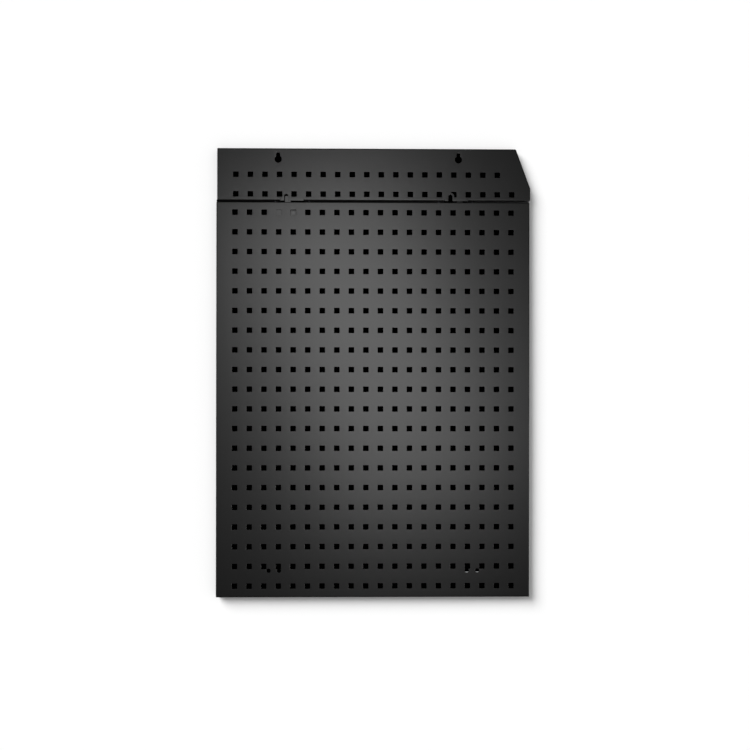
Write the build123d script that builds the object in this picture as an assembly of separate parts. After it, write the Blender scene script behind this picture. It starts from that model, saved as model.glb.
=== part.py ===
from build123d import *
import os

# Pegboard tool wall: two folded sheet-steel panels with square peg holes.
# A header panel hangs above a larger main panel and lifts off it.
# Millimetres. +X is right seen from the front, the front faces -Y, +Z is up.
# The origin lies midway between the outer lower fixing holes, on the front face.

# Sheet and folds, shared by both panels
sheet = 1.2
bend_radius = 2.0  # outside of every fold
panel_width = 608.0
panel_depth = 20.0
rear_lip = 9.5  # width of the lip folded inwards at the back

# Peg holes
hole_side = 10.6
column_pitch = 28.2
row_pitch = 38.1
columns = 20
main_rows = 20

# Main panel
main_height = 766.0
first_row_height = 21.8  # bottom edge to the centre of the lowest row

# Lower fixing holes, in two pairs
fixing_height = 51.5  # above the panel's bottom edge
fixing_diameter = 8.0
fixing_outer_spacing = 404.0
fixing_inner_spacing = 364.0

# Header panel
header_height = 100.6
header_offset = 1.5  # the header sits this far to the right of the main panel
header_row_height = 11.8  # bottom edge to the centre of its lower row
header_upper_columns = 19  # the sloping end leaves no room for the last one
seam_gap = 3.5
slope_run = 28.0
slope_drop = 76.6
slope_upper_radius = 3.0
slope_lower_radius = 4.0

# Keyholes in the header, from its centre line and its top edge
keyhole_places = (-186.0, 164.0)
keyhole_diameter = 14.0
keyhole_slot = 7.0
keyhole_centre_drop = 21.1
keyhole_rise = 10.2  # circle centre to the centre of the slot's round end
keyhole_lip_relief = 22.0  # width cleared in the rear lip behind each keyhole

# Notches in the header's lower edge, from its centre line
notch_places = (-170.3, 148.5)
notch_width = 8.0
notch_height = 12.0
notch_rim = 3.7  # metal kept between a notch and a peg hole that it meets
relief_before = 12.0  # bottom fold left out beside each notch, towards -X
relief_after = 34.5  # and towards +X
relief_drop = 1.0  # the unfolded edge there reaches this much lower

# Joining brackets, folded from plate and screwed under the main panel's top fold
plate = 2.0
running_gap = 0.3  # between the header and what it slides past or rests on
foot_before = 30.0  # foot's ends from the notch
foot_after = 52.0
foot_clearance = 1.3  # between the foot and the rear lip
screw_before = 22.0
screw_after = 44.0
screw_to_foot_back = 6.5
leg_length = 30.0
tongue_rise = 8.0  # above the header's lower edge
slot_clearance = 0.5
leg_bend = 1.0  # inside radius

# Fasteners: M3 cap screws, washers and nuts
screw_diameter = 3.0
screw_length = 8.0
screw_hole = 3.4
head_diameter = 5.5
socket_width = 2.5
washer_outside = 7.0
washer_thickness = 0.5
nut_width = 5.5
nut_thickness = 2.4
thread_clearance = 0.05

# Lower spacers, channels welded behind the two pairs of fixing holes
spacer_width = 46.0
spacer_sheet = 1.5
spacer_height = 18.0
spacer_top_right = 49.0  # above the panel's bottom edge
spacer_top_left = 45.5
spacer_rear_drop = 4.0  # its wall side stands this much lower than its front

# Levels that follow
main_bottom = -fixing_height
main_top = main_bottom + main_height
header_bottom = main_top + seam_gap
header_top = header_bottom + header_height
flange_underside = main_top - sheet
head_height = seam_gap - running_gap
bracket_front = sheet + running_gap
foot_back = panel_depth - sheet - foot_clearance
screw_depth = foot_back - screw_to_foot_back


def slab(profile, front, back):
    """Give a profile drawn in X and Z its depth, from y = front to y = back."""
    return extrude(Plane.XZ.offset(-front) * profile, -(back - front))


def block(low, high):
    """Box between two corners."""
    size = [b - a for a, b in zip(low, high)]
    middle = [(a + b) / 2 for a, b in zip(low, high)]
    return Pos(*middle) * Box(*size)


def folded_tray(outline):
    """Face, flanges and rear lips folded from one sheet, closed at the corners."""

    def rounded(body, front, back, radius):
        edges = body.edges().filter_by_position(Axis.Y, front, front)
        edges += body.edges().filter_by_position(Axis.Y, back, back)
        return fillet(edges, radius)

    inside = offset(outline, -sheet, kind=Kind.INTERSECTION)
    window = offset(outline, -rear_lip, kind=Kind.INTERSECTION)
    outer = rounded(slab(outline, 0, panel_depth), 0, panel_depth, bend_radius)
    inner_back = panel_depth - sheet
    inner = rounded(slab(inside, sheet, inner_back), sheet, inner_back, bend_radius - sheet)
    return outer - inner - slab(window, inner_back - sheet, panel_depth + sheet)


def peg_holes(centre_x, lowest_z, rows, count):
    """Square holes, from the first column, in rows that go up from lowest_z."""
    first = centre_x - column_pitch * (columns - 1) / 2
    spots = [
        Pos(first + column_pitch * i, lowest_z + row_pitch * j)
        for i in range(count)
        for j in range(rows)
    ]
    return Sketch() + [spot * Rectangle(hole_side, hole_side) for spot in spots]


def cut_through_face(panel, profile):
    return panel - slab(profile, -sheet, 2 * sheet)


def tongue_span(bracket):
    return bracket["tongue"], (bracket["setback"], bracket["setback"] + plate)


# The left bracket stands just behind the face. Its tongue shows in the notch.
# The right one stands deeper, and nothing of it shows from the front.
left_notch = header_offset + notch_places[0]
right_notch = header_offset + notch_places[1]
left_bracket = {
    "notch": left_notch,
    "setback": bracket_front,
    "leg": (left_notch - 29.0, left_notch + 8.3),
    "tongue": (left_notch - 2.5, left_notch + 8.3),
    "wing_reach": 19.5,
    "wing_depth": 10.0,
}
right_bracket = {
    "notch": right_notch,
    "setback": bracket_front + 8.0,
    "leg": (right_notch + 12.0, right_notch + 26.0),
    "tongue": (right_notch + 13.5, right_notch + 24.5),
    "wing_reach": 0.0,
    "wing_depth": 0.0,
}
brackets = (left_bracket, right_bracket)


def screw_places():
    return [
        b["notch"] + step
        for b in brackets
        for step in (-screw_before, screw_after)
    ]


def main_panel():
    """Tray with the peg-hole grid, the fixing holes and the holes in its top fold."""
    outline = Pos(0, main_bottom + main_height / 2) * Rectangle(panel_width, main_height)
    holes = peg_holes(0, main_bottom + first_row_height, main_rows, columns)
    panel = cut_through_face(folded_tray(outline), holes)
    for spacing in (fixing_outer_spacing, fixing_inner_spacing):
        for side in (-1, 1):
            drill = Pos(side * spacing / 2, 0) * Circle(fixing_diameter / 2)
            panel = cut_through_face(panel, drill)
    for bracket in brackets:
        across, through = tongue_span(bracket)
        panel -= block(
            (across[0] - slot_clearance, through[0] - running_gap, flange_underside - sheet),
            (across[1] + slot_clearance, through[1] + running_gap, main_top + sheet),
        )
    for x in screw_places():
        panel -= Pos(x, screw_depth, main_top) * Cylinder(screw_hole / 2, 4 * sheet)
    return panel


def header_outline():
    left = header_offset - panel_width / 2
    right = header_offset + panel_width / 2
    corners = [
        (left, header_bottom),
        (right, header_bottom),
        (right, header_top - slope_drop),
        (right - slope_run, header_top),
        (left, header_top),
    ]
    outline = make_face(Polyline(*corners, close=True))
    lower, upper = corners[2], corners[3]
    for corner, radius in ((lower, slope_lower_radius), (upper, slope_upper_radius)):
        nearest = outline.vertices().sort_by_distance(Vector(*corner))[0]
        outline = fillet(nearest, radius)
    return outline


def header_panel():
    """Tray with a sloping end, keyholes at the top and notches at the bottom."""
    panel = folded_tray(header_outline())
    lower_row = peg_holes(header_offset, header_bottom + header_row_height, 1, columns)
    upper_z = header_bottom + header_row_height + row_pitch
    upper_row = peg_holes(header_offset, upper_z, 1, header_upper_columns)
    panel = cut_through_face(panel, lower_row + upper_row)

    for place in keyhole_places:
        x = header_offset + place
        z = header_top - keyhole_centre_drop
        circle = Pos(x, z) * Circle(keyhole_diameter / 2)
        shank = Pos(x, z + keyhole_rise / 2) * Rectangle(keyhole_slot, keyhole_rise)
        end = Pos(x, z + keyhole_rise) * Circle(keyhole_slot / 2)
        panel = cut_through_face(panel, circle + shank + end)
        panel -= block(
            (x - keyhole_lip_relief / 2, panel_depth - 2 * sheet, header_top - 2 * rear_lip),
            (x + keyhole_lip_relief / 2, panel_depth + sheet, header_top - bend_radius),
        )

    round_z = header_bottom + notch_height - notch_width / 2
    for place in notch_places:
        x = header_offset + place
        start, end = x - relief_before, x + relief_after
        panel -= block(
            (start, sheet, header_bottom - sheet),
            (end, panel_depth + sheet, header_bottom + rear_lip + sheet),
        )
        panel += block(
            (start, 0, header_bottom - relief_drop),
            (end, sheet, header_bottom + bend_radius),
        )
        rim = Pos(x, round_z) * Circle(notch_width / 2 + notch_rim)
        panel += slab(rim, 0, sheet)
        slot_bottom = header_bottom - 2 * relief_drop
        slot_middle = (round_z + slot_bottom) / 2
        slot = Pos(x, slot_middle) * Rectangle(notch_width, round_z - slot_bottom)
        panel = cut_through_face(panel, slot + Pos(x, round_z) * Circle(notch_width / 2))
    return panel


def joining_bracket(bracket):
    """Foot under the main panel's top fold, leg behind its face, tongue into the header."""
    front = bracket["setback"]
    back = front + plate
    leg_low = flange_underside - leg_length
    leg_start, leg_end = bracket["leg"]
    foot_under = flange_underside - plate

    section = [
        (front, leg_low),
        (front, flange_underside),
        (foot_back, flange_underside),
        (foot_back, foot_under),
        (back, foot_under),
        (back, leg_low),
    ]
    angle = make_face(Polyline(*section, close=True))
    for corner, radius in ((section[1], leg_bend + plate), (section[4], leg_bend)):
        angle = fillet(angle.vertices().sort_by_distance(Vector(*corner))[0], radius)
    body = extrude(Plane.YZ.offset(leg_start) * angle, leg_end - leg_start)

    foot_start = bracket["notch"] - foot_before
    foot_end = bracket["notch"] + foot_after
    foot_front = bracket_front + plate
    body += block((foot_start, foot_front, foot_under), (foot_end, foot_back, flange_underside))

    across, through = tongue_span(bracket)
    tongue_top = header_bottom + tongue_rise
    rise = tongue_top - foot_under
    tongue = Pos(sum(across) / 2, foot_under + rise / 2) * Rectangle(across[1] - across[0], rise)
    tongue = fillet(tongue.vertices().group_by(Axis.Y)[-1], plate)
    body += slab(tongue, *through)

    if bracket["wing_reach"]:
        wing_front = bracket["wing_depth"]
        body += block((leg_end - plate, front, leg_low), (leg_end, wing_front, foot_under))
        body += block(
            (leg_end - plate, wing_front, leg_low),
            (leg_end + bracket["wing_reach"], wing_front + plate, foot_under),
        )
    for x in (bracket["notch"] - screw_before, bracket["notch"] + screw_after):
        body -= Pos(x, screw_depth, foot_under) * Cylinder(screw_hole / 2, 4 * plate)
    return body


def bracket_screw():
    """Cap screw with a hexagon socket, its head standing on z = 0."""
    head = Pos(0, 0, head_height / 2) * Cylinder(head_diameter / 2, head_height)
    head = fillet(head.edges().group_by(Axis.Z)[-1], head_height / 4)
    shank = Pos(0, 0, -screw_length / 2) * Cylinder(screw_diameter / 2, screw_length)
    shank = chamfer(shank.edges().group_by(Axis.Z)[0], screw_diameter / 10)
    socket = extrude(RegularPolygon(socket_width / 2, 6, major_radius=False), head_height)
    return head + shank - Pos(0, 0, head_height / 2) * socket


def bracket_washer():
    ring = Circle(washer_outside / 2) - Circle(screw_diameter / 2 + thread_clearance)
    return extrude(ring, -washer_thickness)


def bracket_nut():
    hexagon = RegularPolygon(nut_width / 2, 6, major_radius=False)
    return extrude(hexagon - Circle(screw_diameter / 2 + thread_clearance), -nut_thickness)


def at_each_screw(piece, level):
    return Compound(children=[Pos(x, screw_depth, level) * piece for x in screw_places()])


def lower_spacer(side, top):
    """Channel between the face and the wall, open upwards, below the fixing screws."""
    middle = side * (fixing_outer_spacing + fixing_inner_spacing) / 4
    top_z = main_bottom + top
    low_z = top_z - spacer_height
    section = [
        (sheet, top_z),
        (sheet, low_z),
        (panel_depth, low_z),
        (panel_depth, top_z - spacer_rear_drop),
        (panel_depth - spacer_sheet, top_z - spacer_rear_drop),
        (panel_depth - spacer_sheet, low_z + spacer_sheet),
        (sheet + spacer_sheet, low_z + spacer_sheet),
        (sheet + spacer_sheet, top_z),
    ]
    channel = make_face(Polyline(*section, close=True))
    bends = (
        (section[1], 2 * spacer_sheet),
        (section[2], 2 * spacer_sheet),
        (section[5], spacer_sheet),
        (section[6], spacer_sheet),
    )
    for corner, radius in bends:
        channel = fillet(channel.vertices().sort_by_distance(Vector(*corner))[0], radius)
    return extrude(Plane.YZ.offset(middle - spacer_width / 2) * channel, spacer_width)


foot_underside = flange_underside - plate
nodes = {
    "main_panel": main_panel(),
    "header_panel": header_panel(),
    "joining_bracket_left": joining_bracket(left_bracket),
    "joining_bracket_right": joining_bracket(right_bracket),
    "bracket_screws": at_each_screw(bracket_screw(), main_top),
    "bracket_washers": at_each_screw(bracket_washer(), foot_underside),
    "bracket_nuts": at_each_screw(bracket_nut(), foot_underside - washer_thickness),
    "lower_spacer_left": lower_spacer(-1, spacer_top_left),
    "lower_spacer_right": lower_spacer(1, spacer_top_right),
}

os.makedirs("parts", exist_ok=True)
for name, shape in nodes.items():
    export_step(shape, f"parts/{name}.step")
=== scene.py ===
import bmesh
import bpy
import numpy as np
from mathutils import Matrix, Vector
from mathutils.geometry import delaunay_2d_cdt


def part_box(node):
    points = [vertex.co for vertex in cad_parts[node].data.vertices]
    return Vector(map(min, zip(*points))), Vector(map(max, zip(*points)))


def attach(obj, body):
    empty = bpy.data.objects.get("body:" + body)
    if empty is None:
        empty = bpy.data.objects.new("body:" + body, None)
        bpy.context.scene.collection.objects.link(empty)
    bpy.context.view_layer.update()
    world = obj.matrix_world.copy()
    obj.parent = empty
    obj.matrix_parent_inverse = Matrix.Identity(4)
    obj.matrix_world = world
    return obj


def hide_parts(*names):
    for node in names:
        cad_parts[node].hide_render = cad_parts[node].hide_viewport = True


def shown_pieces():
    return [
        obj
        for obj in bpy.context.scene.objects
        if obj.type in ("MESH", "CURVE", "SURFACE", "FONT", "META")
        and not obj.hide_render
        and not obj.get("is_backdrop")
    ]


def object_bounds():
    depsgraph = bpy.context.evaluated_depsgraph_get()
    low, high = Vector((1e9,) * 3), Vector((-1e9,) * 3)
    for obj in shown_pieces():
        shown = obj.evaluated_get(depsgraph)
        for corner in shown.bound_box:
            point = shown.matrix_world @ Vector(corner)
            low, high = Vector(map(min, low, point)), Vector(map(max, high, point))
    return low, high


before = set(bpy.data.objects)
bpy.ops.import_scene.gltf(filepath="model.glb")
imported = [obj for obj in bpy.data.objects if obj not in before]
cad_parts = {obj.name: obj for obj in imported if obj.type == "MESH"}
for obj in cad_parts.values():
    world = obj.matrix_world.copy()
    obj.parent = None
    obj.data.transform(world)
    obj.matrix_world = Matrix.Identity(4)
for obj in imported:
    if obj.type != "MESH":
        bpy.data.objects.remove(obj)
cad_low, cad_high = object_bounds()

# Camera: a standard lens two metres in front of the tool wall, level with its middle and a
# little to its left, turned slightly to the right.
camera_distance = 2.0
camera_left_of_middle = 0.0289
camera_height = 0.370
camera_turn = np.radians((90.258, -0.051, -0.932))

main_low, main_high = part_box("main_panel")
camera_data = bpy.data.cameras.new("camera")
camera_data.sensor_width = 36.0
camera_data.lens = 49.51
camera = bpy.data.objects.new("camera", camera_data)
camera.location = (-camera_left_of_middle, main_low.y - camera_distance, camera_height)
camera.rotation_euler = camera_turn
bpy.context.scene.collection.objects.link(camera)
bpy.context.scene.camera = camera


# Main panel: a tray folded from 1.2 mm sheet steel, with 20 rows of 20 square peg holes
# punched in its face and four folded sides that end in lips against the wall. Its top fold
# has slots for the joining brackets' tongues and holes for their screws.
sheet = 0.0012
bend_radius = 0.002  # outside of every fold
lip_width = 0.0095
corner_radius = 0.0015
lip_slit = 0.0005  # half the gap between two lips, along the lip
punch_round = 0.00025  # how far the coat rounds a punched edge
peg_side = 0.0106
peg_corner = 0.0006
column_pitch = 0.0282
row_pitch = 0.0381
columns = 20
main_rows = 20
first_row = main_low.z + 0.0218
fixing_radius = 0.004
fixing_outer = 0.202
fixing_inner = 0.182
notch_places = (-0.1688, 0.1500)
screw_steps = (-0.022, 0.044)  # from a notch to its bracket's two screws
screw_depth = 0.011
screw_hole = 0.0017
left_slot = (-0.1718, -0.1600)  # cut from the bend behind the face back to slot_back
slot_back = 0.0038
right_slot = (0.1630, 0.1750, 0.0092, 0.0118)  # along X, then in depth


def arc(centre, radius, start, end, steps):
    """Points on a circle: the centre plus the radius times cosine and sine of even angles."""
    angle = np.radians(np.linspace(start, end, steps))
    return np.array(centre) + radius * np.column_stack([np.cos(angle), np.sin(angle)])


def shifted(outline, distance):
    """Closed outline with its edges moved to their left. A corner moves by the distance times
    the sum of its two edge normals, over one plus their product."""
    edge = np.roll(outline, -1, axis=0) - outline
    normal = np.column_stack([-edge[:, 1], edge[:, 0]]) / np.linalg.norm(edge, axis=1)[:, None]
    before = np.roll(normal, 1, axis=0)
    bisector = (before + normal) / (1 + (before * normal).sum(1))[:, None]
    return outline + np.reshape(distance, (-1, 1)) * bisector


def rounded(corners, radius, steps):
    """Closed outline with an arc at each corner, as an array by corner and step. An arc starts
    its radius times the tangent of half the turn from the corner, and each of its spokes is
    the first and last spoke mixed by the sines of the angles left and gone."""
    into = corners - np.roll(corners, 1, axis=0)
    into /= np.linalg.norm(into, axis=1)[:, None]
    out = np.roll(into, -1, axis=0)
    turn = np.arccos((into * out).sum(1))[:, None]
    radius = np.broadcast_to(radius, len(corners))[:, None]
    inward = (out - into) / np.linalg.norm(out - into, axis=1)[:, None]
    centre = corners + inward * radius / np.cos(turn / 2)
    reach = radius * np.tan(turn / 2)
    first = (corners - into * reach - centre)[:, None]
    last = (corners + out * reach - centre)[:, None]
    share = np.linspace(0, 1, steps)[None, :, None]
    turn = turn[:, None]
    spokes = np.sin((1 - share) * turn) * first + np.sin(share * turn) * last
    return centre[:, None] + spokes / np.sin(turn)


def box_corners(low_x, high_x, low_z, high_z):
    """Corners of an upright rectangle, anticlockwise from the lower left."""
    return np.array([(low_x, low_z), (high_x, low_z), (high_x, high_z), (low_x, high_z)])


def peg_hole(x, z):
    """Outline of a square punched hole: a square with small arcs at its corners, by corner."""
    half = peg_side / 2
    return rounded(box_corners(x - half, x + half, z - half, z + half), peg_corner, 3)


def punched_sheet(outline, softness, holes, back_outline=None):
    """Flat sheet as points (across, up, depth) and faces. Front and back are filled between the
    outline and the holes. A cut edge is four rings: the front, moved into the metal by the
    edge's softness, the line itself at that depth from each side, and the back."""
    loops = [outline] + [hole[::-1] for hole in holes]
    points = np.vstack(loops)
    soft = np.concatenate([softness] + [np.full(len(hole), punch_round) for hole in holes])
    lengths = np.array([len(loop) for loop in loops])
    starts = np.concatenate([[0], np.cumsum(lengths)[:-1]])
    here = np.arange(len(points))
    following = here + 1
    following[starts + lengths - 1] = starts
    sizes = np.split(soft, starts[1:])
    flat = np.vstack([shifted(loop, size) for loop, size in zip(loops, sizes)])

    edges = np.column_stack([here, following])
    inside_out = [loop.tolist() for loop in np.split(here, starts[1:])]
    areas = inside_out[:1] + [hole[::-1] for hole in inside_out[1:]]
    found = delaunay_2d_cdt(flat.tolist(), [], areas, 1, 1e-9)
    in_metal = np.array([len(owners) == 1 for owners in found[5]])
    triangles = np.concatenate(found[3])[np.array(found[2])[in_metal]]
    back = flat.copy()
    if back_outline is not None:
        back[:len(outline)] = back_outline
    rings = [(flat, 0 * soft), (points, soft), (points, sheet - soft), (back, 0 * soft + sheet)]
    solid = np.vstack([np.column_stack([ring, depth]) for ring, depth in rings])

    count = len(points)
    cut = edges[soft[here] + soft[following] > 0]
    walls = [
        np.column_stack([cut + ring * count, cut[:, ::-1] + (ring + 1) * count])
        for ring in range(3)
    ]
    return solid, [triangles, triangles[:, ::-1] + 3 * count, *walls]


bend_steps = 6
slot_row, flange_row, lip_row = 4, bend_steps, 2 * bend_steps + 1
edge_row = lip_row + 2


def folded_edge(corners, radii, depth, reliefs):
    """Folded rim of a tray: its points by row and station, the rows and stations that its faces
    keep, its other faces and each relief's stations. A section of the sheet, as insets and
    depths, is carried round the outline: each inset is the outline moved in and rounded by
    what is left of its corner radius. A relief is a side, two places along X, and the first
    and last row of the section that are left out there."""
    near, far = (bend_radius, bend_radius), (bend_radius, depth - bend_radius)
    halves = []
    outside, inside = (bend_radius, depth, -1), (bend_radius - sheet, depth - sheet, 1)
    for radius, back, side in (outside, inside):
        front_bend = arc(near, radius, 270, 180, bend_steps + 1)
        back_bend = arc(far, radius, 180, 90, bend_steps + 1)
        end = [(lip_width - punch_round, back), (lip_width, back + side * punch_round)]
        halves.append(np.vstack([front_bend, back_bend, end]))
    section = np.vstack([halves[0], halves[1][::-1]])

    steps = 5
    lines = []
    for inset in section[:, 0]:
        moved = shifted(corners, inset)
        curves = rounded(moved, np.maximum(radii - inset, lip_slit), steps)
        for side, (corner, curve) in enumerate(zip(moved, curves)):
            stops = [(x, corner[1]) for relief in reliefs if relief[0] == side for x in relief[1:3]]
            lines += [curve, *np.reshape(stops, (-1, 1, 2))]
    rows = len(section)
    lines = np.vstack(lines).reshape(rows, -1, 2)
    stations = lines.shape[1]
    depths = np.broadcast_to(section[:, 1, None, None], (rows, stations, 1))

    gaps, station = [], 0
    for side in range(len(corners)):
        gaps.append((station, station + steps - 1, lip_row, edge_row))
        station += steps
        for relief in [relief for relief in reliefs if relief[0] == side]:
            gaps.append((station, station + 1, *relief[3:]))
            station += 2
    kept = np.ones((rows - 1, stations), bool)
    extra = []
    for start, end, first, last in gaps:
        kept[first:last, start:end] = False
        kept[rows - 1 - last:rows - 1 - first, start:end] = False
        kept[edge_row, start:end] &= last < edge_row
        outer = np.arange(first, last)
        cap = np.column_stack([outer, outer + 1, rows - 2 - outer, rows - 1 - outer]) * stations
        extra += [cap + start, cap + end]
        if first > 0:
            base = np.arange(start, end)
            floor = np.column_stack([base, base + 1]) + first * stations
            across = (rows - 1 - 2 * first) * stations
            extra.append(np.column_stack([floor, floor[:, ::-1] + across]))
    return np.concatenate([lines, depths], 2), kept, extra, gaps


def grid_faces(kept):
    """Four-sided faces of a grid of rows and closed stations, where they are kept."""
    row, place = np.nonzero(kept)
    stations = kept.shape[1]
    ahead = (place + 1) % stations
    low, high = row * stations, (row + 1) * stations
    return np.column_stack([low + place, low + ahead, high + ahead, high + place])


def steel_object(name, parts, sharp=50):
    """One closed mesh from parts, each an array of points (x, y, z) and a list of face arrays.
    Doubles are merged and faces turned outwards, then large faces rule the shading."""
    mesh = bpy.data.meshes.new(name)
    starts = np.cumsum([0] + [len(points) for points, _ in parts])
    faces = [
        (face + start).tolist() for (_, group), start in zip(parts, starts) for face in group
    ]
    mesh.from_pydata(np.vstack([points for points, _ in parts]).tolist(), [], sum(faces, []))
    work = bmesh.new()
    work.from_mesh(mesh)
    bmesh.ops.remove_doubles(work, verts=work.verts, dist=2e-6)
    loose = [vertex for vertex in work.verts if not vertex.link_faces]
    bmesh.ops.delete(work, geom=loose, context="VERTS")
    bmesh.ops.recalc_face_normals(work, faces=work.faces)
    work.to_mesh(mesh)
    work.free()
    mesh.shade_smooth()
    mesh.set_sharp_from_angle(angle=np.radians(sharp))
    piece = bpy.data.objects.new(name, mesh)
    bpy.context.scene.collection.objects.link(piece)
    shading = piece.modifiers.new("large faces rule", "WEIGHTED_NORMAL")
    shading.keep_sharp = True
    return piece


def on_face(points):
    """Sheet points (across, up, depth) as (x, y, z), with the sheet's front at y = 0."""
    return points[:, [0, 2, 1]]


def linear(hex_colour):
    """sRGB hex as linear RGBA: a channel under 0.04045 is divided by 12.92, and above it is
    raised, after the standard offset, to the power 2.4."""
    channel = np.array([int(hex_colour[i:i + 2], 16) for i in (1, 3, 5)]) / 255
    low, high = channel / 12.92, ((channel + 0.055) / 1.055) ** 2.4
    return (*np.where(channel < 0.04045, low, high), 1.0)


def add_node(tree, kind, inputs, **settings):
    """New shader node with its settings, and each input a value or another node's output."""
    node = tree.nodes.new(kind)
    for name, value in settings.items():
        setattr(node, name, value)
    for name, value in inputs.items():
        if isinstance(value, bpy.types.NodeSocket):
            tree.links.new(value, node.inputs[name])
        else:
            node.inputs[name].default_value = value
    return node


def new_material(name):
    """Empty node material and its tree."""
    material = bpy.data.materials.new(name)
    material.use_nodes = True
    material.node_tree.nodes.clear()
    return material, material.node_tree


def satin_powder_coat(name, colour, roughness):
    """Cured polyester powder coat: orange peel about 1.5 mm across, as noise with 650 cells a
    metre, breaks up a satin gloss that drifts by 0.015 over about 100 mm."""
    material, tree = new_material(name)
    place = add_node(tree, "ShaderNodeTexCoord", {}).outputs["Object"]
    peel = add_node(tree, "ShaderNodeTexNoise", {"Vector": place, "Scale": 650.0, "Detail": 2.0})
    bump = add_node(tree, "ShaderNodeBump",
                    {"Height": peel.outputs["Fac"], "Strength": 0.35, "Distance": 0.00006})
    cloud = add_node(tree, "ShaderNodeTexNoise", {"Vector": place, "Scale": 9.0, "Detail": 3.0})
    sheen = add_node(tree, "ShaderNodeMapRange", {
        "Value": cloud.outputs["Fac"], "To Min": roughness - 0.015, "To Max": roughness + 0.015})
    coat = add_node(tree, "ShaderNodeBsdfPrincipled", {
        "Base Color": linear(colour), "Roughness": sheen.outputs["Result"], "IOR": 1.5,
        "Normal": bump.outputs["Normal"]})
    add_node(tree, "ShaderNodeOutputMaterial", {"Surface": coat.outputs["BSDF"]})
    return material


# Near black, with a soft highlight that spreads over half the panel.
black_coat = satin_powder_coat("black satin powder coat", "#1b1b1b", 0.42)

depth = main_high.y
main_corners = box_corners(main_low.x, main_high.x, main_low.z, main_high.z)
top_side = 2
slot_relief = (top_side, *left_slot[::-1], slot_row, flange_row)
rim, rim_kept, rim_extra, _ = folded_edge(main_corners, corner_radius, depth, [slot_relief])
top_right, top_left = 14, 17  # the rim's stations at the ends of its top side
for row in (flange_row, len(rim) - 2 - flange_row):
    rim_kept[row, top_right:top_left] = False

column_xs = column_pitch * (np.arange(columns) - (columns - 1) / 2)
row_zs = first_row + row_pitch * np.arange(main_rows)
face_holes = {(x, z): peg_hole(x, z).reshape(-1, 2) for x in column_xs for z in row_zs}
for side in (-1, 1):
    face_holes[side, "fixing"] = arc((side * fixing_outer, 0), fixing_radius, 0, 345, 24)
    x = min(column_xs, key=lambda column: abs(column - side * fixing_inner))
    z = row_zs[1]
    meet = np.degrees(np.arcsin((z - peg_side / 2) / fixing_radius))
    round_part = arc((side * fixing_inner, 0), fixing_radius, 180 - meet, 360 + meet, 20)
    lower_left, *other_corners = peg_hole(x, z)
    face_holes[x, z] = np.vstack([lower_left, round_part, *other_corners])
face_line = rim[0, :, :2]
face, face_faces = punched_sheet(face_line, np.zeros(len(face_line)), list(face_holes.values()))

top_holes = [
    arc((notch + step, screw_depth), screw_hole, 0, 345, 24)
    for notch in notch_places for step in screw_steps
]
top_holes.append(rounded(box_corners(*right_slot), punch_round, 3).reshape(-1, 2))


def flange_outline(line):
    """Flat part of the top fold between its bends, as (x, depth), with the left slot open to
    the front bend."""
    right, *slot_right_left, left = line[top_right:top_left + 1, 0]
    front, back = bend_radius, depth - bend_radius
    slot_end, slot_start = slot_right_left
    return np.array([
        (left, front), (slot_start, front), (slot_start, slot_back), (slot_end, slot_back),
        (slot_end, front), (right, front), (right, back), (slot_end, back), (slot_start, back),
        (left, back)])


top_softness = np.zeros(10)
top_softness[2:4] = punch_round
top, top_faces = punched_sheet(flange_outline(rim[flange_row]), top_softness, top_holes,
                               flange_outline(rim[-1 - flange_row]))
top[:, 2] = main_high.z - top[:, 2]

main_panel = steel_object("main_panel_sheet", [
    (on_face(rim.reshape(-1, 3)), [grid_faces(rim_kept), *rim_extra]),
    (on_face(face), face_faces),
    (top, top_faces),
])
main_panel.data.materials.append(black_coat)
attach(main_panel, "wall_panel")
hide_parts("main_panel")


# Header panel: a shallower tray of the same sheet that hangs on two wall screws by its
# keyholes. Its right end slopes, and its lower fold is left out beside each of two notches,
# where the flat face reaches a little lower.
header_low, header_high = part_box("header_panel")
relief_drop = 0.001
header_bottom = header_low.z + relief_drop
header_middle = (header_low.x + header_high.x) / 2
header_first_row = header_bottom + 0.0118
slope_run, slope_drop = 0.028, 0.0766
slope_radii = (0.004, 0.003)
keyhole_places = (-0.186, 0.164)
keyhole_radius, keyhole_slot, keyhole_rise = 0.007, 0.0035, 0.0102
keyhole_z = header_high.z - 0.0211
keyhole_relief = 0.011
notch_half, notch_height, notch_rim = 0.004, 0.012, 0.0037
relief_before, relief_after = 0.012, 0.0345
relief_slit = 0.0008  # saw cut that ends each stretch of fold


def keyhole(x, z):
    """Outline of a keyhole: the slot's round end, then the rest of the large circle, from one
    side of the slot to the other."""
    meet = np.degrees(np.arcsin(keyhole_slot / keyhole_radius))
    end = arc((x, z + keyhole_rise), keyhole_slot, 0, 180, 9)
    return np.vstack([end, arc((x, z), keyhole_radius, 90 + meet, 450 - meet, 25)])


def notched_edge(x, start, end):
    """Cut edge from one stretch of fold to the next: a slit, the flat edge, the notch with its
    half-round top, the flat edge and a slit again."""
    edge, slit_top = header_bottom - relief_drop, header_bottom + bend_radius + relief_slit
    top = arc((x, header_bottom + notch_height - notch_half), notch_half, 180, 0, 11)
    before = [(start, slit_top), (start + relief_slit, slit_top), (start + relief_slit, edge)]
    after = [(end - relief_slit, edge), (end - relief_slit, slit_top), (end, slit_top)]
    return np.vstack([before, (x - notch_half, edge), top, (x + notch_half, edge), after])


def peg_hole_beside_notch(x, z, notch_x, notch_z):
    """Square hole less the metal kept round a notch at its lower left: three of its corners,
    then the rim's circle from the hole's left side to its lower side."""
    radius = notch_half + notch_rim
    high = np.degrees(np.arccos((x - peg_side / 2 - notch_x) / radius))
    low = np.degrees(np.arcsin((z - peg_side / 2 - notch_z) / radius))
    _, *corners = peg_hole(x, z)
    return np.vstack([*corners, arc((notch_x, notch_z), radius, high, low, 9)])


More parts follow.
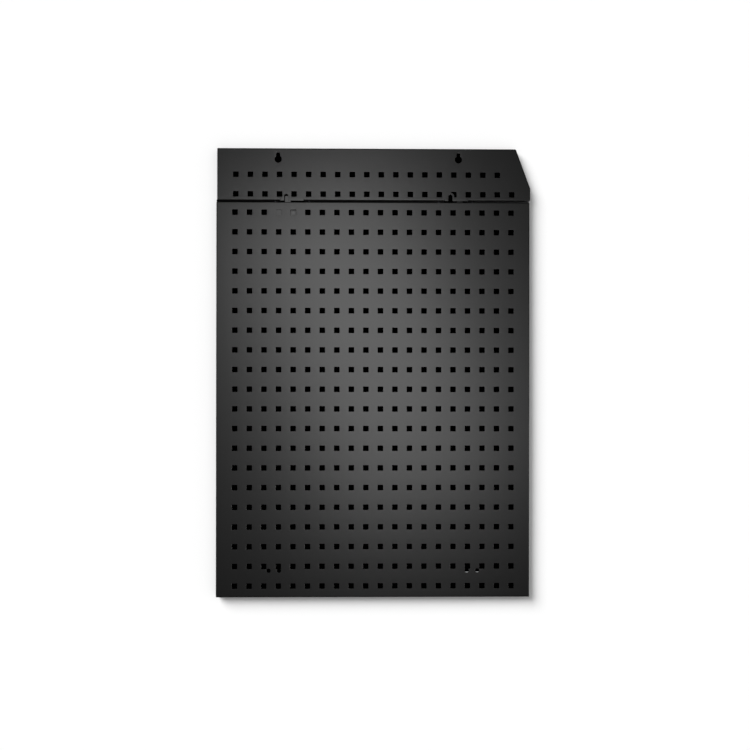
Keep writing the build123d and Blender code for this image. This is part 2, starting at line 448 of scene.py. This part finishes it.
low_x, high_x = header_low.x, header_high.x
header_corners = np.array([
    (low_x, header_bottom), (high_x, header_bottom), (high_x, header_high.z - slope_drop),
    (high_x - slope_run, header_high.z), (low_x, header_high.z)])
header_radii = np.array([corner_radius, corner_radius, *slope_radii, corner_radius])
bottom_side, top_side = 0, 3
reliefs = [(bottom_side, x - relief_before, x + relief_after, 0, edge_row) for x in notch_places]
reliefs += [
    (top_side, header_middle + place + keyhole_relief, header_middle + place - keyhole_relief,
     lip_row, edge_row)
    for place in keyhole_places[::-1]]
rim, rim_kept, rim_extra, gaps = folded_edge(header_corners, header_radii, depth, reliefs)

header_xs = header_middle + column_xs
header_holes = {(x, header_first_row): peg_hole(x, header_first_row) for x in header_xs}
upper_row = header_first_row + row_pitch
header_holes.update({(x, upper_row): peg_hole(x, upper_row) for x in header_xs[:-1]})
notch_centre_z = header_bottom + notch_height - notch_half
beside = min(header_xs[header_xs > notch_places[1]])
header_holes[beside, header_first_row] = peg_hole_beside_notch(
    beside, header_first_row, notch_places[1], notch_centre_z)
for place in keyhole_places:
    header_holes[place, "keyhole"] = keyhole(header_middle + place, keyhole_z)

face_line, softness, last = [], [], 0
for (start, end, *_), notch in zip([gap for gap in gaps if gap[2] == 0], notch_places):
    cut = notched_edge(notch, notch - relief_before, notch + relief_after)
    face_line += [rim[0, last:start + 1, :2], cut]
    softness += [np.zeros(start + 1 - last), np.full(len(cut), punch_round)]
    last = end
face_line.append(rim[0, last:, :2])
softness.append(np.zeros(len(face_line[-1])))
face, face_faces = punched_sheet(np.vstack(face_line), np.concatenate(softness),
                                 [hole.reshape(-1, 2) for hole in header_holes.values()])

header_panel = steel_object("header_panel_sheet", [
    (on_face(rim.reshape(-1, 3)), [grid_faces(rim_kept), *rim_extra]),
    (on_face(face), face_faces),
])
header_panel.data.materials.append(black_coat)
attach(header_panel, "header")
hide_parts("header_panel")


# Joining brackets: two folded pieces of 2 mm plate, laser cut, deburred and coated, screwed
# under the main panel's top fold. Their tongues stand up into the header.
def softened_copy(node, name, radius):
    """Copy of a plain piece with its doubles merged, its flat faces made whole, and its sharp
    edges rounded by a bevel of a given radius."""
    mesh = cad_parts[node].data.copy()
    mesh.name = name
    mesh.materials.clear()
    work = bmesh.new()
    work.from_mesh(mesh)
    bmesh.ops.remove_doubles(work, verts=work.verts, dist=1e-6)
    bmesh.ops.dissolve_limit(work, angle_limit=np.radians(1), verts=work.verts, edges=work.edges)
    work.to_mesh(mesh)
    work.free()
    mesh.shade_smooth()
    mesh.set_sharp_from_angle(angle=np.radians(35))
    piece = bpy.data.objects.new(name, mesh)
    bpy.context.scene.collection.objects.link(piece)
    bevel = piece.modifiers.new("deburred edges", "BEVEL")
    bevel.width, bevel.segments = radius, 2
    bevel.limit_method, bevel.angle_limit = "ANGLE", np.radians(35)
    bevel.harden_normals = True
    return piece


# A little paler and glossier than the panels: the paler black is painted light, so that the bracket
# seen through the holes looks as lit as the face.
bracket_coat = satin_powder_coat("dark bracket powder coat", "#262626", 0.40)
for side in ("left", "right"):
    bracket = softened_copy(f"joining_bracket_{side}", f"bracket_{side}_plate", 0.0003)
    bracket.data.materials.append(bracket_coat)
    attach(bracket, "wall_panel")
    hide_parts(f"joining_bracket_{side}")


# Bracket screws: four M3 cap screws with a hexagon socket, a knurled head and a rolled thread,
# through the main panel's top fold and a bracket's foot. Steel, plated in black zinc.
turn_steps = 72
round_angle = 2 * np.pi * np.arange(turn_steps + 1) / turn_steps
head_radius, head_height, head_round = 0.00275, 0.0032, 0.0008
head_edge, knurl_end, knurl_depth = 0.0002, 0.0003, 0.000055
socket_flat, socket_depth, socket_edge = 0.00125, 0.0016, 0.0001
crest_radius, root_radius, tip_radius = 0.0015, 0.0012, 0.00115
thread_pitch, screw_length = 0.0005, 0.008
thread_turns = (0, 0.125, 0.5, 0.625)  # where crest, flank, root and next flank start
screw_xs = [notch + step for notch in notch_places for step in screw_steps]


def hexagon(flat):
    """Radius of a hexagon at each angle round it: half its width over the cosine of the angle
    from the middle of the nearest side."""
    from_middle = (round_angle + np.pi / 6) % (np.pi / 3) - np.pi / 6
    return flat / np.cos(from_middle)


def thread(height):
    """Radius of the thread at a height: crest, flank and root follow the depth in pitches less
    the share of a turn gone, and a 45 degree cone cuts the tip."""
    phase = (-height / thread_pitch - round_angle / (2 * np.pi)) % 1
    profile = np.interp(phase, (*thread_turns, 1),
                        (crest_radius, crest_radius, root_radius, root_radius, crest_radius))
    return np.minimum(profile, tip_radius + height + screw_length)


def turned(rings, ends_open):
    """Surface through rings, each a radius and a height at every angle, as points and faces.
    Its ends are either closed with a flat face or joined to each other."""
    if not ends_open:
        rings = [*rings, rings[0]]
    radius, height = [
        np.stack([np.broadcast_to(ring[part], turn_steps + 1) for ring in rings])
        for part in (0, 1)]
    points = np.stack([radius * np.cos(round_angle), radius * np.sin(round_angle), height], 2)
    kept = np.ones((len(radius) - 1, turn_steps + 1), bool)
    kept[:, -1] = False
    faces = [grid_faces(kept)]
    if ends_open:
        ring = np.arange(turn_steps)
        faces += [ring[None], ring[None, ::-1] + (len(radius) - 1) * (turn_steps + 1)]
    return points.reshape(-1, 3), faces


def at_each_screw(name, solid, level):
    """One piece of four copies of a solid, each at a screw's place and at one level."""
    points, faces = solid
    return steel_object(name, [(points + (x, screw_depth, level), faces) for x in screw_xs], 35)


def plated_metal(name, colour, roughness, grain):
    """Plated steel: a metal whose roughness varies with streaks of rolling along X. The noise
    is stretched ten times along the sheet, and its grain is given in millimetres."""
    material, tree = new_material(name)
    place = add_node(tree, "ShaderNodeTexCoord", {}).outputs["Object"]
    rolled = add_node(tree, "ShaderNodeMapping", {"Vector": place, "Scale": (0.1, 1.0, 1.0)})
    streaks = add_node(tree, "ShaderNodeTexNoise", {
        "Vector": rolled.outputs["Vector"], "Scale": 1000.0 / grain, "Detail": 2.0})
    gloss = add_node(tree, "ShaderNodeMapRange", {
        "Value": streaks.outputs["Fac"], "To Min": roughness - 0.06, "To Max": roughness + 0.06})
    plate = add_node(tree, "ShaderNodeBsdfPrincipled", {
        "Base Color": linear(colour), "Metallic": 1.0, "Roughness": gloss.outputs["Result"]})
    add_node(tree, "ShaderNodeOutputMaterial", {"Surface": plate.outputs["BSDF"]})
    return material


knurl = head_radius - knurl_depth * (np.arange(turn_steps + 1) % 2)
crown = arc((head_radius - head_round, head_height - head_round), head_round, 90, 15, 5)
socket = hexagon(socket_flat)
head = [
    (socket / 20, head_height - socket_depth), (socket, head_height - socket_depth),
    (socket, head_height - socket_edge), (socket + socket_edge, head_height), *crown,
    (knurl, head_height - head_round), (knurl, knurl_end), (head_radius - head_edge, 0)]
winding = np.add.outer(np.arange(-1, screw_length / thread_pitch), thread_turns).reshape(-1, 1)
height = np.clip(-(winding + round_angle / (2 * np.pi)) * thread_pitch, -screw_length, 0)
shank = zip(thread(height), height)
screws = at_each_screw("bracket_cap_screws", turned([*head, *shank], True), main_high.z)


# Bracket washers: four plain washers for M3, stamped from steel and plated like the screws,
# one under the foot at each screw.
bracket_plate = 0.002
foot_underside = main_high.z - sheet - bracket_plate
washer_radius, washer_thickness, bore_radius, edge_round = 0.0035, 0.0005, 0.00155, 0.0001
washer_rings = [
    (bore_radius, 0), (washer_radius - edge_round, 0), (washer_radius, -edge_round),
    (washer_radius, edge_round - washer_thickness),
    (washer_radius - edge_round, -washer_thickness), (bore_radius, -washer_thickness)]
washers = at_each_screw("bracket_plain_washers", turned(washer_rings, False), foot_underside)


# Bracket nuts: four M3 hexagon nuts, turned from bar, with their corners chamfered at 30
# degrees on both sides, plated like the screws.
nut_thickness, nut_face, nut_flat = 0.0024, 0.0026, 0.00275
nut_side = hexagon(nut_flat)
corner = (nut_side - nut_face) * np.tan(np.radians(30))
nut_rings = [
    (bore_radius, 0), (nut_face, 0), (nut_side, -corner), (nut_side, corner - nut_thickness),
    (nut_face, -nut_thickness), (bore_radius, -nut_thickness)]
nuts = at_each_screw("bracket_hexagon_nuts", turned(nut_rings, False),
                     foot_underside - washer_thickness)

# Dark metal with a dull shine.
black_zinc = plated_metal("black zinc on steel", "#3a3a3d", 0.34, 0.4)
fasteners = {"bracket_screws": screws, "bracket_washers": washers, "bracket_nuts": nuts}
for node, piece in fasteners.items():
    piece.data.materials.append(black_zinc)
    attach(piece, "wall_panel")
    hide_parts(node)


# Lower spacers: two short channels bent from 1.5 mm galvanised sheet and spot-welded behind the
# pairs of fixing holes. They keep the face off the wall where its screws pull.
# Pale metal, a little blue, with faint streaks along the sheet.
bright_zinc = plated_metal("bright zinc on steel", "#d4d6d8", 0.40, 0.6)
for side in ("left", "right"):
    spacer = softened_copy(f"lower_spacer_{side}", f"spacer_{side}_channel", 0.0002)
    spacer.data.materials.append(bright_zinc)
    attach(spacer, "wall_panel")
    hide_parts(f"lower_spacer_{side}")


# Stage: a white wall behind, and a black card inside the panels and across the seam. The card is
# painted shade: a black sheet standing where the inside of the tray and the seam lie only in
# shadow, so that the holes look into the dark. Both are seen from the front only and touch no other
# light.
wall_gap = 0.0006
wall_reach = 6.0

wall_y = cad_high.y + wall_gap
wall_corners = box_corners(-wall_reach, wall_reach, -wall_reach, wall_reach)
backdrop_mesh = bpy.data.meshes.new("backdrop")
backdrop_mesh.from_pydata([(x, wall_y, z) for x, z in wall_corners], [], [range(4)])
backdrop = bpy.data.objects.new("backdrop", backdrop_mesh)

card_y = cad_high.y + wall_gap / 2
card_margin = 0.004
seam_reach = 0.002  # the card's strip behind the seam ends this far past both sides
card_mesh = bpy.data.meshes.new("painted_shade_card")
card_outline = shifted(header_corners, card_margin)
main_outline = shifted(main_corners, card_margin)
seam_outline = box_corners(
    main_low.x - seam_reach, main_high.x + seam_reach,
    main_high.z - card_margin, header_bottom + card_margin)
outlines = (card_outline, main_outline, seam_outline)
card_points = [(x, card_y, z) for outline in outlines for x, z in outline]
card_mesh.from_pydata(card_points, [], [range(5), range(5, 9), range(9, 13)])
card = bpy.data.objects.new("painted_shade_card", card_mesh)


def one_sided(name, colour):
    """Matt stage surface whose back is clear, so that the views from behind see past it."""
    material, tree = new_material(name)
    side = add_node(tree, "ShaderNodeNewGeometry", {}).outputs["Backfacing"]
    front = add_node(tree, "ShaderNodeBsdfDiffuse", {"Color": linear(colour)}).outputs[0]
    clear = add_node(tree, "ShaderNodeBsdfTransparent", {}).outputs[0]
    mix = add_node(tree, "ShaderNodeMixShader", {0: side, 1: front, 2: clear})
    add_node(tree, "ShaderNodeOutputMaterial", {"Surface": mix.outputs[0]})
    return material


backdrop_mesh.materials.append(one_sided("white paper", "#f2f2f2"))
# The card's black is painted shade, in place of the shadow inside the tray and in the seam.
card_mesh.materials.append(one_sided("painted shade black", "#000000"))
for thing in (backdrop, card):
    bpy.context.scene.collection.objects.link(thing)
    thing.visible_diffuse = thing.visible_glossy = thing.visible_shadow = False
    thing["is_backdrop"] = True


# Lights: an upright soft box in front of the tool wall makes its soft fall of light, and three
# large panels outline its sides and back. Two sun lamps light the wall behind it alone, which
# sets its white and its soft shadow.
def area_light(name, place, aim, size, power, turn=0.0):
    """Rectangular lamp at a place, facing its aim and turned about that line, unseen itself."""
    data = bpy.data.lights.new(name, "AREA")
    data.shape = "RECTANGLE"
    data.size, data.size_y = size
    data.energy = power
    light = bpy.data.objects.new(name, data)
    light.location = place
    light.rotation_euler = (Vector(place) - Vector(aim)).to_track_quat("Z", "Y").to_euler()
    light.rotation_euler.rotate_axis("Z", turn)
    light.visible_camera = False
    bpy.context.scene.collection.objects.link(light)
    return light


# Each lamp has its name, place, aim, width and height, power in watts, and turn in radians.
middle = (0, 0, (cad_low.z + cad_high.z) / 2)
lamps = [
    area_light("soft box", (-0.0091, -0.8, 0.4747), (0, 0, 0.45), (0.4214, 0.8866), 6.25, 0.3933),
    area_light("left front panel", (-1.6, -0.9, -0.3), middle, (0.8, 1.2), 5),
    area_light("right back panel", (1.3, 1.2, -0.35), middle, (1.2, 1.2), 18),
    area_light("right side panel", (1.8, 0.12, -0.25), middle, (0.7, 1.2), 16),
]
tool_wall = bpy.data.collections.new("tool wall only")
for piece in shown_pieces():
    tool_wall.objects.link(piece)
for lamp in lamps:
    lamp.light_linking.receiver_collection = tool_wall

wall_only = bpy.data.collections.new("wall only")
wall_only.objects.link(backdrop)


def wall_sun(name, direction, spread, energy):
    """Sun lamp on the backdrop only, from a direction, with a disc of a given spread."""
    data = bpy.data.lights.new(name, "SUN")
    data.angle = np.radians(spread)
    data.energy = energy
    sun = bpy.data.objects.new(name, data)
    sun.rotation_euler = Vector(direction).to_track_quat("Z", "Y").to_euler()
    bpy.context.scene.collection.objects.link(sun)
    sun.light_linking.receiver_collection = wall_only


wall_sun("wall wash", (-0.91, -1.0, 0.92), 40, 4.1)
wall_sun("wall fill", (0.5, -1.0, -0.3), 120, 1.25)

world = bpy.data.worlds.new("white studio")
bpy.context.scene.world = world
world.use_nodes = True
tree = world.node_tree
tree.nodes.clear()
seen = add_node(tree, "ShaderNodeLightPath", {}).outputs["Is Camera Ray"]
white = add_node(tree, "ShaderNodeBackground", {"Color": (1, 1, 1, 1)}).outputs[0]
dark = add_node(tree, "ShaderNodeBackground", {"Color": (0, 0, 0, 1)}).outputs[0]
mix = add_node(tree, "ShaderNodeMixShader", {0: seen, 1: dark, 2: white})
add_node(tree, "ShaderNodeOutputWorld", {"Surface": mix.outputs[0]})
bpy.context.scene.view_settings.view_transform = "Standard"
